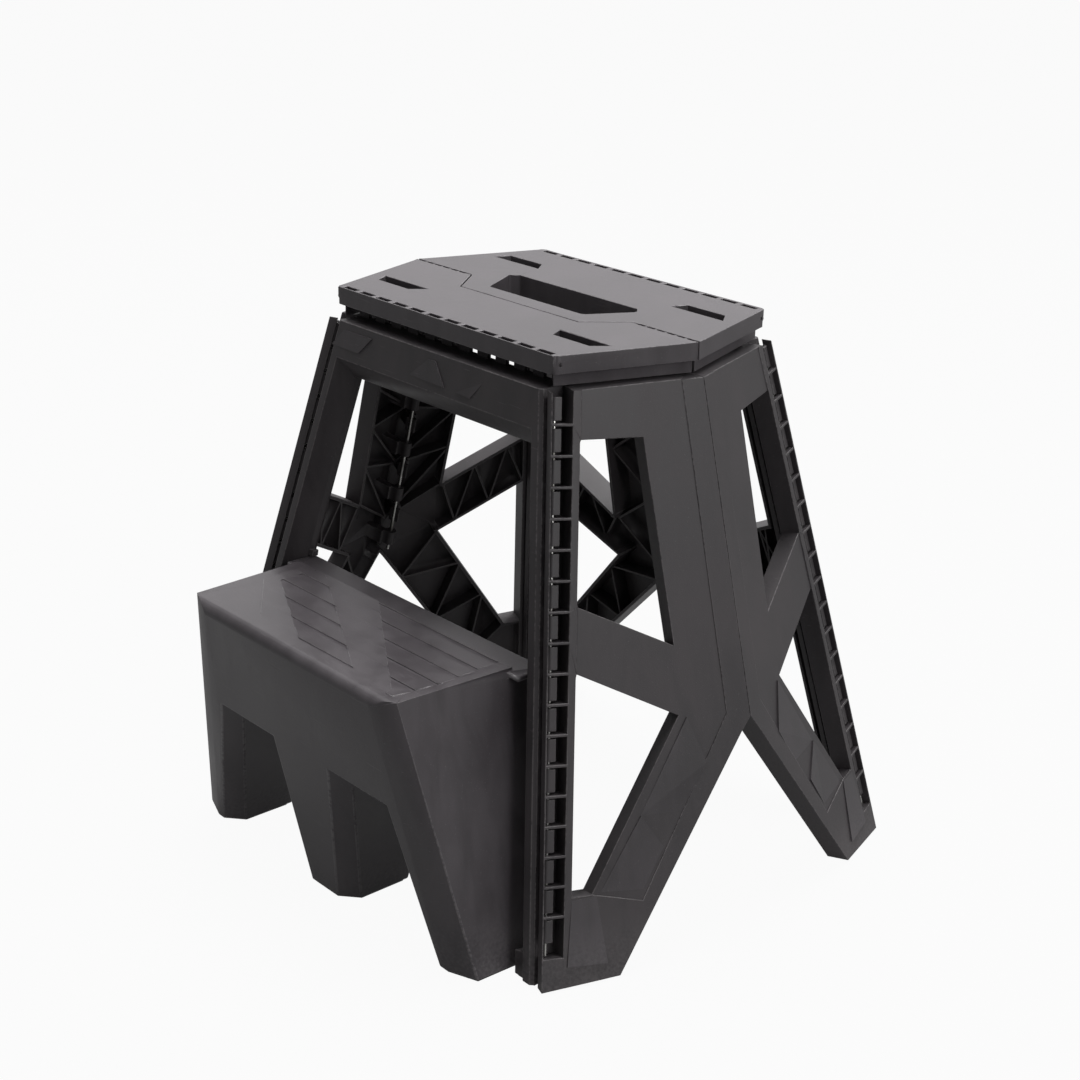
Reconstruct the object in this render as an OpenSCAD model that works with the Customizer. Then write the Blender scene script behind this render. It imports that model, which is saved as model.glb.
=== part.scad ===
// Folding step stool: two seat halves, two frames, four end panels and a lift-off step.
// Millimetres, Z up, front at -Y. All sloping edge lines run to one point above the seat.

/* [Overall form] */
// Height of the seat top above the floor
seat_height = 400; // [340:1:460]
// Height at which the sloping edge lines would meet
apex_height = 950; // [800:1:1200]
// Half length of the front and back frames at floor level
corner_half_length = 197; // [170:1:225]
// Half depth between the outer faces of the two frames at floor level
corner_half_depth = 170.5; // [150:0.5:195]
// Half length at floor level of the ridge lines between the end panels
ridge_half_length = 253; // [225:1:285]
// Distance of the top edges of frames and end panels below the seat top
frame_top_drop = 22.4; // [20:0.1:30]

/* [Folding] */
// Distance from an outer face to the middle plane of the folded stool
half_package = 23; // [20:0.5:30]
// Depth of the corner and seat edge hinge axes below the outer faces
axis_depth = 6; // [5:0.1:8]
// Radius of the steel hinge rods
rod_radius = 1.25; // [1:0.05:1.6]
// Running clearance between a rod and its bores
rod_clearance = 0.05; // [0.02:0.01:0.1]
// Pitch of the corner hinge ribs
hinge_pitch = 20; // [17:0.5:24]
// Thickness of a thin hinge rib
rib_thick = 1.8; // [1.2:0.1:2.4]
// Gap between a frame barrel and the ribs beside it
barrel_gap = 1.5; // [0.5:0.1:3]
// Radius of the corner barrels
barrel_radius = 3.1; // [2.6:0.1:3.2]
// Radius of the ridge and seat centre knuckles
knuckle_radius = 4.2; // [3.5:0.1:4.5]
// Width of a ridge knuckle
ridge_knuckle = 11.8; // [9:0.1:13]
// Running gap between parts that pass each other
running_gap = 0.4; // [0.3:0.05:0.8]

/* [Shell] */
// Thickness of the moulded skins
skin_thick = 3; // [2:0.1:4]
// Thickness of the rim walls
rim_thick = 2.6; // [2:0.1:4]
// Thickness of the stiffening ribs
stiffener_thick = 1.8; // [1.2:0.1:2.6]
// Depth of the end panels
end_depth = 15; // [12:0.5:18]
// Depth of the two frames
frame_depth = 22.4; // [18:0.1:24]
// Rise of the flat borders above the panel faces
border_rise = 0.8; // [0.4:0.1:1.2]

/* [Corners] */
// Width of the hinge gap, from the corner line to the frame
hinge_gap_width = 10; // [9.5:0.1:12]
// Width of the chamfer beside the hinge gap
chamfer_width = 2.5; // [1.5:0.1:3]
// Depth of the chamfer beside the hinge gap
chamfer_depth = 2.3; // [1.5:0.1:3]
// Distance from the corner line to the start of the window bevel
strip_end = 19; // [16:0.5:22]
// Distance from the corner line to the window wall of the frames
window_edge = 26; // [23:0.5:30]
// Depth at which the window bevel ends
bevel_depth = 16; // [10:0.5:18]
// Thickness of the thin edge wall of an end panel
edge_wall_thick = 1; // [0.8:0.1:1.2]
// Overhang of the edge wall past the corner line
edge_wall_out = 0.3; // [0:0.1:0.5]
// Depth of the edge wall
edge_wall_depth = 7; // [5:0.5:8]
// Distance from the corner line to the solid bar of an end panel
bar_start = 14.8; // [14:0.1:16]
// Distance from the corner line to the windows of an end panel
bar_end = 20.2; // [18:0.1:23]
// Height of the solid foot blocks
foot_block_height = 24; // [15:0.5:30]
// Width of a front frame foot, from the corner line
foot_width = 29; // [26:0.5:34]
// Width of the top bar of the front frame
top_bar_width = 26.5; // [20:0.5:34]
// Width of the bevel below the top bar
top_bevel_width = 13.5; // [8:0.5:18]

/* [Back frame] */
// Half width of the centre band
band_half_width = 42; // [34:0.5:52]
// Distance of the notch's point below the inner corner of the lower windows
notch_gap = 12.7; // [8:0.1:20]
// Width of a back foot, from the corner line to the notch
back_foot_width = 40; // [32:1:50]

/* [Seat] */
// Distance of the seat's corners from the corner lines, along the length
seat_end_inset = 4.1; // [3:0.1:8]
// Distance of the long edges behind the outer faces of the frames
seat_side_inset = 0.2; // [0:0.1:2]
// Reach of the seat's tips past the ridge lines
seat_tip_over = 0.5; // [0:0.1:2]
// Thickness of the slab edge
slab_thick = 12.5; // [10:0.5:15]
// Depth of the skirts below the seat top
skirt_depth = 21.4; // [18:0.1:21.6]
// Inset of the skirts behind the slab edge
skirt_inset = 4; // [3:0.1:7]
// Corner radius of the seat
seat_corner_radius = 5; // [2:0.5:9]
// Width of the joint between the two halves
joint_gap = 0.8; // [0.5:0.1:1.4]
// Number of slots along each long edge
slots = 12; // [8:1:12]
// Width of the lugs between the slots
slot_lug = 4; // [3:0.1:6]
// Distance of the outer lugs from the ends of the long edges
slot_margin = 0.4; // [0.2:0.1:3]
// Width of a slot
slot_width = 4.6; // [3.5:0.1:5.5]
// Thickness of the strip in front of the slots
strip_thick = 1.4; // [1:0.1:2]
// Gap between a hinge arm and the lugs beside it
arm_side_gap = 0.55; // [0.4:0.05:1.5]
// Radius of the seat edge barrels on the frames
arm_radius = 2.6; // [2:0.1:2.8]
// Thickness of the hinge arms
arm_thick = 4; // [3:0.1:5]
// Gap between the hinge arms and the rear face of their frame
arm_back_gap = 0.1; // [0.1:0.1:1]
// Set-back of an arm's leg from the sides of the arm
arm_leg_inset = 1.5; // [1:0.1:3]
// Pitch of the seat centre knuckles
centre_pitch = 9.3; // [8:0.1:10.5]
// Width of a seat centre knuckle
centre_knuckle_width = 8.5; // [7:0.1:9]
// Number of slots in the centre joint on each side
centre_slot_count = 6; // [4:1:6]
// Distance of the last centre slot's pitch from the seat's tip
centre_end_gap = 2.2; // [1:0.1:5]
// Width of the slots in the centre joint
centre_slot_width = 2.4; // [1.5:0.1:3.5]
// Length of a slot in the centre joint
centre_slot_length = 7; // [5:0.1:8]
// Depth of the handle tab past the middle line
tab_depth = 28.5; // [22:0.5:34]
// Distance between the tab and the first centre knuckle
tab_side_gap = 5; // [3:0.5:12]
// Slant of the tab's ends, along the length
tab_slant = 22; // [12:0.5:30]
// Width of the rim between the handle hole and the tab's front edge
hole_front_rim = 16; // [10:0.5:20]
// Distance of the handle hole's back edge from the middle line
hole_back = 27.5; // [20:0.5:34]
// Distance of the handle hole from the end of the tab's front edge
hole_front_margin = 13; // [8:0.5:20]
// Distance of the handle hole from the end of the tab at the middle line
hole_back_margin = 17; // [10:0.5:24]
// Depth of the wall round the handle hole
hole_wall_depth = 19; // [12:0.5:21]
// Distance of the finger slots' middle from the ends of the long edges
finger_slot_inset = 20.6; // [16:0.1:30]
// Distance of the finger slots from the long edges
finger_slot_edge = 41; // [34:0.5:50]
// Half length of a finger slot on its long side
finger_slot_half = 25; // [18:0.5:30]
// Half width of a finger slot
finger_slot_side = 5.8; // [4:0.1:8]
// Taper of the finger slot ends
finger_slot_taper = 6; // [3:0.1:9]

/* [Step] */
// Height of the step
step_height = 197; // [160:1:220]
// Depth of the tread
tread_depth = 100; // [85:1:120]
// Set-back of the tread's rear edge behind the front frame's outer face
tread_inset = 2.1; // [1:0.1:6]
// Reach of the step's front feet past the front frame at floor level
step_foot_reach = 30.5; // [20:0.5:45]
// Distance of the step's side from the corner line at the rear edge of the tread
step_side_inset = 36.65; // [34:0.05:50]
// Taper in plan of one side of the step, over its depth
step_side_taper = 5; // [0:0.5:8]
// Chamfer of the front corners, along the front
step_chamfer_long = 22; // [8:0.5:26]
// Chamfer of the front corners, along the side
step_chamfer_deep = 8.2; // [5:0.1:16]
// Edge radius of the step
step_edge_radius = 7; // [3:0.5:10]
// Thickness of the rear lip
lip_thick = 4; // [3:0.5:6]
// Distance of the lip below the tread
lip_drop = 2.5; // [1:0.5:5]
// Side gap between the lip and the window wall
lip_side_gap = 0.8; // [0.5:0.1:1.5]
// Height of the two arches
arch_height = 115; // [90:1:135]
// Half width of the middle leg at floor level
middle_leg_floor = 14.6; // [10:0.1:20]
// Half width of the middle leg at the top of the arches
middle_leg_top = 31.5; // [24:0.5:40]
// Width of an outer leg at floor level
outer_leg_floor_width = 28.5; // [20:0.5:40]
// Width of an outer leg at the top of the arches
outer_leg_top_width = 35.3; // [26:0.1:46]
// Chamfer of the arch edges, along the front
arch_chamfer_long = 13; // [6:0.5:16]
// Chamfer of the arch edges, in depth
arch_chamfer_deep = 11; // [6:0.5:16]
// Wall thickness of the step
step_wall = 4; // [3:0.5:6]
// Height of the walls that close the legs of the step below
leg_floor_wall = 8; // [4:0.5:12]
// Rise of the anti-slip teeth
tread_tooth_rise = 0.9; // [0.4:0.1:1.5]
// Pitch of the anti-slip teeth
tread_tooth_pitch = 17; // [12:0.5:24]
// Size of the catches that hold the lip
catch_size = 5; // [3:0.5:7]

/* [Feet] */
// Thickness of the foot pads
pad_thick = 1.5; // [1:0.1:2.5]
// Inset of the foot pads from the foot edges
pad_inset = 1.6; // [1:0.1:3]

/* [Colours] */
// Colour of the moulded plastic
body_color = [0.24, 0.225, 0.23];
// Colour of the seat and step
seat_color = [0.3, 0.285, 0.29];
// Colour of the steel rods
rod_color = [0.6, 0.6, 0.6];
// Colour of the rubber pads
pad_color = [0.06, 0.06, 0.06];

/* [Hidden] */
round_fn = 40;
// Oversize of cutting shapes and small overlaps of joined shapes
over = half_package;
lap = rib_thick / 4;

function unit(v) = v / norm(v);
function turn_of(u, v, n) = [atan2(v[2], n[2]), asin(-u[2]), atan2(u[1], u[0])];
function shrink(h) = 1 - h / apex_height;

// The edges that follow the sloping lines
frame_top_height = seat_height - frame_top_drop;
seat_half_length = corner_half_length * shrink(frame_top_height) - seat_end_inset;
seat_half_depth = corner_half_depth * shrink(seat_height) - seat_side_inset;
seat_tip_length = ridge_half_length * shrink(seat_height) + seat_tip_over;

// The pyramid lines and the end panel frame of the right front panel
apex = [0, 0, apex_height];
corner_floor = [corner_half_length, -corner_half_depth, 0];
ridge_floor = [ridge_half_length, 0, 0];
end_up = unit(apex - corner_floor);
end_out = unit(cross(ridge_floor - corner_floor, apex - corner_floor));
end_side = cross(end_up, end_out);
ridge_up = unit(apex - ridge_floor);
ridge_side = cross(ridge_up, end_out);
corner_line = norm(apex - corner_floor);
ridge_line = norm(apex - ridge_floor);
ridge_u = (ridge_floor - corner_floor) * end_side;
ridge_s = (ridge_floor - corner_floor) * end_up;
end_width = ridge_u * corner_line / (corner_line - ridge_s);

// The front frame leans back about its floor line
frame_lean = atan(corner_half_depth / apex_height);
frame_line = norm([corner_half_depth, apex_height]);
side_lean = atan(corner_half_length / frame_line);
frame_out = [0, -cos(frame_lean), sin(frame_lean)];
corner_fold = acos(frame_out * end_out);
axis_foot = axis_depth * tan(corner_fold / 2);
ridge_half_angle = asin(-end_out[1]);
ridge_axis_back = half_package * tan(ridge_half_angle);

// Lengths along the slopes that belong to the top edge height
frame_top_line = frame_top_height / cos(frame_lean);
corner_top_line = frame_top_height / end_up[2];
ridge_top_line = ridge_line * frame_top_height / apex_height;
rib_top = corner_top_line - hinge_pitch;
hinge_ribs = floor((rib_top - foot_block_height) / hinge_pitch);
barrel_length = hinge_pitch - rib_thick - 2 * barrel_gap;
bore_radius = rod_radius + rod_clearance;
// Walls and ribs of the frames start behind their rear face, which cuts them all off level
rib_low = frame_depth + lap;

// Seat edge axis: the same depth below the seat top and behind the frame's face
edge_axis_z = seat_height - axis_depth;
edge_axis_y = corner_half_depth * shrink(edge_axis_z) - axis_depth / cos(frame_lean);
centre_axis_z = seat_height - half_package;

// Seat slots and arms, centre knuckles, handle tab, handle hole and finger slots
slot_pitch = (2 * (seat_half_length - slot_margin) - slot_lug) / slots;
slot_length = slot_pitch - slot_lug;
arm_width = slot_length - 2 * arm_side_gap;
centre_start = seat_tip_length - centre_slot_count * centre_pitch - centre_end_gap;
tab_back_half = centre_start - tab_side_gap;
tab_front_half = tab_back_half - tab_slant;
hole_front = tab_depth - hole_front_rim;
hole_front_half = tab_front_half - hole_front_margin;
hole_back_half = tab_back_half - hole_back_margin;
finger_slot_x = seat_half_length - finger_slot_inset;
finger_slot_y = seat_half_depth - finger_slot_edge;

// Points of the end panel: shares of its width at that height and of the length to its top edge
end_outline_shares = [[0.2246, -0.0511], [0.308, 0.0146], [0.9444, 0.4229], [1, 0.4498],
    [1.06, 0.4498], [1.06, 1.107]];
end_upper_shares = [[0.5659, 0.9286], [0.6475, 0.5784]];
end_upper_bar_shares = [0.6504, 0.9241];
end_lower_shares = [[0.6401, 0.4586], [0.2045, 0.1643]];
end_lower_bar_shares = [0.1625, 0.5392];
end_border_shares = [[0.8417, 1.107], [0.871, 0.6539], [0.8803, 0.4579], [0.254, 0.0088],
    [0.2, -0.0511]];
end_foot_shares = [[0.33, 0.0252], [0.5, 0.1384]];
end_top_shares = [[1, 1.0277], [0.6, 1.0164]];
end_rib_shares = [[0.985, 0.4505], [0.985, 0.9812], [0.6, 1.0013]];
end_pad_share = 0.27;
function end_point(p) = [p[0] * end_width * (1 - p[1] * corner_top_line / corner_line),
    p[1] * corner_top_line];
function end_points(list) = [for (p = list) end_point(p)];
end_outline = concat([[bar_start, -over]], end_points(end_outline_shares),
    [[bar_start, corner_top_line * end_outline_shares[5][1]]]);
end_upper = concat(end_points(end_upper_shares), [[bar_end, end_upper_bar_shares[0] * corner_top_line],
    [bar_end, end_upper_bar_shares[1] * corner_top_line]]);
end_lower = concat(end_points(end_lower_shares), [[bar_end, end_lower_bar_shares[0] * corner_top_line],
    [bar_end, end_lower_bar_shares[1] * corner_top_line]]);

// Points of the back frame: places up the slope as shares of the length to its top edge
function frame_x(s, w) = corner_half_length * (1 - s / frame_line) - w / cos(side_lean);
function frame_s(share) = share * frame_top_line;
window_top_share = 0.9258;
upper_bar_share = 0.6501;
upper_band_share = 0.5376;
lower_bar_share = 0.5389;
lower_band_share = 0.4436;
lower_foot_share = 0.159;
foot_side_share = 0.71;
function bar_point(share) = [frame_x(frame_s(share), bar_end), frame_s(share)];
back_upper = [[band_half_width, frame_s(window_top_share)], [band_half_width, frame_s(upper_band_share)],
    bar_point(upper_bar_share), bar_point(window_top_share)];
back_lower = [[band_half_width, frame_s(lower_band_share)],
    [corner_half_length * foot_side_share, frame_s(lower_foot_share)],
    bar_point(lower_foot_share), bar_point(lower_bar_share)];
notch_line = frame_s(lower_band_share) - notch_gap;
notch_half_width = corner_half_length - back_foot_width;
back_outline = [[0, notch_line], [notch_half_width, 0],
    [notch_half_width * (1 + over / notch_line), -over], [frame_x(-over, 0), -over],
    [frame_x(frame_top_line + over, 0), frame_top_line + over],
    [0, frame_top_line + over]];

// Step: the plan and side slopes
tread_back = corner_half_depth * shrink(step_height) - tread_inset;
step_front_top = tread_back + tread_depth;
step_front_floor = corner_half_depth + step_foot_reach;
step_half_width = corner_half_length * shrink(step_height) - step_side_inset;
step_front_lean = atan((step_front_top - step_front_floor) / step_height);
step_yaw = atan(step_side_taper / tread_depth);
step_spread = corner_half_length / apex_height + tan(step_yaw) * corner_half_depth / apex_height;
front_round = step_edge_radius * (1 / tan((90 - step_front_lean) / 2) - 1);
origin_shift = (step_front_top - front_round - corner_half_depth) / 2;
function frame_inner_y(h) = corner_half_depth * shrink(h) - frame_depth / cos(frame_lean);
step_rear_floor = frame_inner_y(0) + running_gap;
step_rear_top = frame_inner_y(step_height) + running_gap;

// Half widths of the step's front at the tread and at the floor, and the outer legs of the arches
front_half_top = step_half_width - step_side_taper;
front_half_floor = step_half_width + step_height * step_spread
    - (step_front_floor - tread_back) * tan(step_yaw);
outer_leg_floor = front_half_floor - outer_leg_floor_width;
outer_leg_top = front_half_floor + (front_half_top - front_half_floor) * arch_height / step_height
    - outer_leg_top_width;

// Upper ends of the two edges of the front corner's chamfer, and the lower end of the front one
corner_front = [front_half_top - step_chamfer_long, -step_front_top, step_height];
corner_side = corner_front + [step_chamfer_long, step_chamfer_deep, 0];
corner_foot = [front_half_floor - step_chamfer_long, -step_front_floor, 0];

// A wall between two plan points, from one level to another
module wall(p, q, thick, low, high) {
    translate([p[0], p[1], low])
        rotate([0, 0, atan2(q[1] - p[1], q[0] - p[0])])
            translate([0, -thick / 2, 0])
                cube([norm(q - p), thick, high - low]);
}

// The same wall, run past both ends by half its thickness
module long_wall(p, q, thick, low, high) {
    past = unit(q - p) * thick / 2;
    wall(p - past, q + past, thick, low, high);
}

// Walls along every edge of an outline
module walls(points, thick, low, high) {
    count = len(points);
    for (i = [0 : count - 1])
        long_wall(points[i], points[(i + 1) % count], thick, low, high);
}

// Stiffening ribs that run to and fro between two edges
module zigzag(a0, a1, b0, b1, count, low, high) {
    points = [for (i = [0 : count]) (i % 2 == 0) ? a0 + (a1 - a0) * i / count : b0 + (b1 - b0) * i / count];
    for (i = [0 : count - 1])
        long_wall(points[i], points[i + 1], stiffener_thick, low, high);
}

module plate(points, low, high) {
    translate([0, 0, low])
        linear_extrude(height = high - low)
            polygon(points);
}

// Sweeps a section along local Y
module along_y(start, end) {
    translate([0, end, 0])
        rotate([90, 0, 0])
            linear_extrude(height = end - start)
                children();
}

// Sweeps a section along local X
module along_x(start, end) {
    translate([start, 0, 0])
        rotate([90, 0, 90])
            linear_extrude(height = end - start)
                children();
}

module rod_y(x, z, r, start, end) {
    translate([x, start, z])
        rotate([-90, 0, 0])
            cylinder(r = r, h = end - start, $fn = round_fn);
}

module rod_x(y, z, r, start, end) {
    translate([start, y, z])
        rotate([0, 90, 0])
            cylinder(r = r, h = end - start, $fn = round_fn);
}

module place_frame() {
    translate([0, -corner_half_depth, 0])
        rotate([90 - frame_lean, 0, 0])
            children();
}

// Local frame of the right front corner line inside the front frame: X away from the frame
module place_side() {
    translate([corner_half_length, 0, 0])
        rotate([0, 0, side_lean])
            children();
}

// From the middle of the stool to the middle of the whole outline with its step
module shifted() {
    translate([0, origin_shift, 0])
        children();
}

module both_sides() {
    children();
    mirror([1, 0, 0])
        children();
}

module place_end() {
    translate(corner_floor)
        rotate(turn_of(end_side, end_up, end_out))
            children();
}

module place_ridge() {
    translate(ridge_floor)
        rotate(turn_of(ridge_side, ridge_up, end_out))
            children();
}

// Everything between the pad level and the top edge level
module height_slab(side) {
    translate([-side, -side, pad_thick])
        cube([2 * side, 2 * side, frame_top_height - pad_thick]);
}

// Corner hinges: barrels on the frames between ribs of the end panels

rib_places = [for (i = [0 : hinge_ribs - 1]) rib_top - i * hinge_pitch];
barrel_places = [for (i = [0 : hinge_ribs]) rib_top + (0.5 - i) * hinge_pitch];
rod_start = foot_block_height + 2 * lap;
rod_end = rib_top + hinge_pitch - 2 * rib_thick;

// One corner's barrels on a frame, in the side frame: barrel, lug behind it and arm to the frame
lug_high_share = 0.58;
lug_low_share = 2.6;
module barrel_section() {
    high = -barrel_radius * lug_high_share;
    low = -barrel_radius * lug_low_share;
    translate([-axis_foot, -axis_depth])
        circle(r = barrel_radius, $fn = round_fn);
    translate([-axis_foot, -axis_depth])
        rotate([0, 0, -corner_fold])
            translate([0, -barrel_radius])
                square([barrel_radius + edge_wall_thick, 2 * barrel_radius]);
    translate([-axis_foot, -axis_depth])
        polygon([[0, high], [0, -barrel_radius], [axis_foot - hinge_gap_width + rim_thick, low],
            [axis_foot - hinge_gap_width - lap, low], [axis_foot - hinge_gap_width - lap, high]]);
}

module corner_barrels() {
    for (s = barrel_places)
        along_y(s - barrel_length / 2, s + barrel_length / 2)
            barrel_section();
}

module corner_bore() {
    rod_y(-axis_foot, -axis_depth, bore_radius, 0, corner_top_line + over);
}

// Legs and top bar are drawn a little past the envelope, which cuts their outer and rear faces
module leg_section() {
    polygon([[0, 0], [-strip_end, 0], [-window_edge, -bevel_depth],
        [-window_edge, -rib_low], [-window_edge + rim_thick, -rib_low],
        [-window_edge + rim_thick, -bevel_depth - skin_thick / 2],
        [-strip_end + skin_thick / 2, -skin_thick - lap],
        [-hinge_gap_width - rim_thick, -skin_thick - lap],
        [-hinge_gap_width - rim_thick, -rib_low], [0, -rib_low]]);
}

module top_section() {
    low = frame_top_line - top_bar_width - top_bevel_width;
    back = frame_top_line - 2 * rim_thick;
    polygon([[frame_top_line + over, 0], [frame_top_line - top_bar_width, 0],
        [low, -bevel_depth], [low, -rib_low], [low + rim_thick, -rib_low],
        [low + rim_thick, -bevel_depth - skin_thick / 2],
        [frame_top_line - top_bar_width - lap, -skin_thick], [back, -skin_thick],
        [back, -rib_low], [frame_top_line + over, -rib_low]]);
}

module chamfered_side() {
    wide = 2 * corner_half_length + over;
    along_y(-corner_half_length, frame_line)
        polygon([[-hinge_gap_width, -frame_depth - over], [-hinge_gap_width, -chamfer_depth],
            [-hinge_gap_width - chamfer_width, 0], [-hinge_gap_width - 2 * chamfer_width, over],
            [-wide, over], [-wide, -frame_depth - over]]);
}

// Keeps a frame between its corner chamfers
module frame_envelope() {
    intersection() {
        translate([-corner_half_length - over, -over, -frame_depth])
            cube([2 * corner_half_length + 2 * over, frame_top_line + 2 * over, frame_depth + border_rise]);
        place_side()
            chamfered_side();
        mirror([1, 0, 0])
            place_side()
                chamfered_side();
    }
}

module leg_ribs() {
    near = hinge_gap_width + rim_thick / 2;
    far = window_edge - rim_thick / 2;
    steps = hinge_ribs - 1;
    for (i = [1 : steps]) {
        start = i * hinge_pitch + foot_block_height / 2;
        wall([-near, start], [-far, start + ((i % 2 == 0) ? hinge_pitch / 2 : 0)],
            stiffener_thick, -rib_low, -bevel_depth - skin_thick / 2);
    }
}

module front_panel() {
    high = frame_top_line + over;
    bar_low = frame_top_line - top_bar_width - top_bevel_width;
    both_sides()
        place_side() {
            along_y(-over, high)
                leg_section();
            leg_ribs();
            translate([-foot_width, -over, -rib_low])
                cube([foot_width - hinge_gap_width - lap, over + foot_block_height,
                    rib_low - chamfer_depth]);
        }
    along_x(-corner_half_length, corner_half_length)
        top_section();
    half = frame_x(bar_low, window_edge);
    zigzag([-half, bar_low + rim_thick / 2], [half, bar_low + rim_thick / 2],
        [-half, frame_top_line - rim_thick], [half, frame_top_line - rim_thick],
        slots, -rib_low, -bevel_depth - skin_thick / 2);
}

// Hook-shaped arms that carry the seat edge barrels, each on a narrower leg
module seat_arms() {
    rise = arm_radius - lap;
    back = -frame_inner_y(frame_top_height) - arm_back_gap;
    leg_width = arm_width - 2 * arm_leg_inset;
    difference() {
        for (i = [0 : slots - 1]) {
            x = (i - (slots - 1) / 2) * slot_pitch;
            rod_x(-edge_axis_y, edge_axis_z, arm_radius, x - arm_width / 2, x + arm_width / 2);
            along_x(x - arm_width / 2, x + arm_width / 2)
                polygon([[-edge_axis_y, edge_axis_z - rise], [-edge_axis_y, edge_axis_z + rise],
                    [back - rise, edge_axis_z + rise], [back, edge_axis_z],
                    [back, edge_axis_z - rise]]);
            translate([x - leg_width / 2, back - arm_thick, frame_top_height - rim_thick])
                cube([leg_width, arm_thick - lap, edge_axis_z - frame_top_height + rim_thick]);
        }
        rod_x(-edge_axis_y, edge_axis_z, bore_radius, -corner_half_length, corner_half_length);
    }
}

// Catches above and below the step's lip, on the window walls
module step_catches() {
    lip_top = step_height - lip_drop;
    intersection() {
        for (z = [lip_top + running_gap, lip_top - lip_thick - running_gap - catch_size])
            translate([-corner_half_length, -tread_back, z])
                cube([2 * corner_half_length, tread_back - step_rear_top - lap, catch_size]);
        place_frame()
            both_sides()
                place_side()
                    translate([-window_edge - catch_size, 0, -frame_depth])
                        cube([catch_size + lap, frame_line, frame_depth - bevel_depth - lap]);
    }
}

module front_frame_shape() {
    intersection() {
        place_frame()
            intersection() {
                front_panel();
                frame_envelope();
            }
        height_slab(2 * corner_half_length);
    }
    difference() {
        place_frame()
            both_sides()
                place_side()
                    corner_barrels();
        place_frame()
            both_sides()
                place_side()
                    corner_bore();
    }
    seat_arms();
    step_catches();
}

// The back frame is drawn as a front frame and turned round
module back_panel() {
    skin_low = -border_rise - skin_thick;
    mirrored_outline = [for (i = [len(back_outline) - 2 : -1 : 1])
        [-back_outline[i][0], back_outline[i][1]]];
    difference() {
        intersection() {
            union() {
                translate([-corner_half_length, -over, skin_low])
                    cube([2 * corner_half_length, frame_top_line + 2 * over, skin_thick]);
                wall([0, notch_line], [0, frame_top_line], stiffener_thick, -frame_depth + 2 * skin_thick,
                    -skin_thick / 2);
                both_sides() {
                    walls(back_upper, 2 * rim_thick, -rib_low, -skin_thick);
                    walls(back_lower, 2 * rim_thick, -rib_low, -skin_thick);
                    long_wall(back_outline[0], back_outline[2], 2 * rim_thick, -rib_low, -skin_thick);
                    place_side()
                        translate([-bar_start, -over, -rib_low])
                            cube([bar_start, frame_top_line + 2 * over, rib_low]);
                    translate([0, frame_top_line - 2 * rim_thick, -rib_low])
                        cube([corner_half_length, over, rib_low]);
                    place_side()
                        translate([-corner_half_length, -over, -rib_low])
                            cube([corner_half_length, over + foot_block_height / 2, rib_low - skin_thick]);
                    back_ribs();
                }
            }
            plate(concat(back_outline, mirrored_outline), -frame_depth - over, over);
            frame_envelope();
        }
        both_sides() {
            plate(back_upper, -frame_depth - over, over);
            plate(back_lower, -frame_depth - over, over);
        }
    }
}

module back_ribs() {
    low = -frame_depth + 2 * skin_thick;
    high = -skin_thick / 2;
    zigzag([band_half_width, frame_s(upper_band_share)], bar_point(upper_bar_share),
        [band_half_width, frame_s(lower_band_share)], bar_point(lower_bar_share), 5, low, high);
    zigzag([0, frame_s(lower_band_share)], [0, frame_top_line],
        [band_half_width, frame_s(lower_band_share)], [band_half_width, frame_top_line], 7, low, high);
    zigzag([band_half_width, frame_s(window_top_share)], bar_point(window_top_share),
        [band_half_width, frame_top_line], bar_point(frame_top_line / frame_line), 4, low, high);
    zigzag([0, notch_line], [notch_half_width, 0],
        [band_half_width, frame_s(lower_band_share)], [corner_half_length * foot_side_share,
        frame_s(lower_foot_share)], 6, low, high);
}

module back_frame_shape() {
    mirror([0, 1, 0]) {
        intersection() {
            place_frame()
                back_panel();
            height_slab(2 * corner_half_length);
        }
        difference() {
            place_frame()
                both_sides()
                    place_side()
                        corner_barrels();
            place_frame()
                both_sides()
                    place_side()
                        corner_bore();
        }
        seat_arms();
    }
}

// All four end panels are drawn as the right front one
rib_heel_share = 0.7;
module end_rib_section() {
    polygon([[-edge_wall_out, 0], [bar_start + lap, 0], [bar_start + lap, -end_depth + lap],
        [axis_foot, -axis_depth - edge_wall_depth * rib_heel_share],
        [-edge_wall_out + edge_wall_thick, -edge_wall_depth], [-edge_wall_out, -edge_wall_depth]]);
}

module end_ladder() {
    difference() {
        union() {
            along_y(-over, corner_top_line + over)
                polygon([[-edge_wall_out, -edge_wall_depth],
                    [-edge_wall_out + edge_wall_thick, -edge_wall_depth],
                    [-edge_wall_out + edge_wall_thick, 0], [-edge_wall_out, 0]]);
            for (s = rib_places)
                along_y(s - rib_thick / 2, s + rib_thick / 2)
                    end_rib_section();
            along_y(-over, foot_block_height)
                end_rib_section();
        }
        rod_y(axis_foot, -axis_depth, bore_radius, foot_block_height + lap, corner_top_line + over);
    }
}

module end_ribs() {
    low = -end_depth + lap;
    high = -skin_thick / 2;
    crotch = end_outline[3];
    foot = end_outline[2];
    ridge_low = end_point(end_rib_shares[0]);
    ridge_high = end_point(end_rib_shares[1]);
    zigzag(end_lower[0], end_lower[1], crotch, foot, 6, low, high);
    zigzag(end_lower[3], end_lower[0], end_upper[2], end_upper[1], 5, low, high);
    zigzag(end_upper[1], end_upper[0], ridge_low, ridge_high, 8, low, high);
    zigzag([bar_end, corner_top_line], end_point(end_rib_shares[2]), end_upper[3], end_upper[0],
        4, low, high);
    wall(ridge_low, ridge_high, rim_thick, low, high);
}

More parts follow.
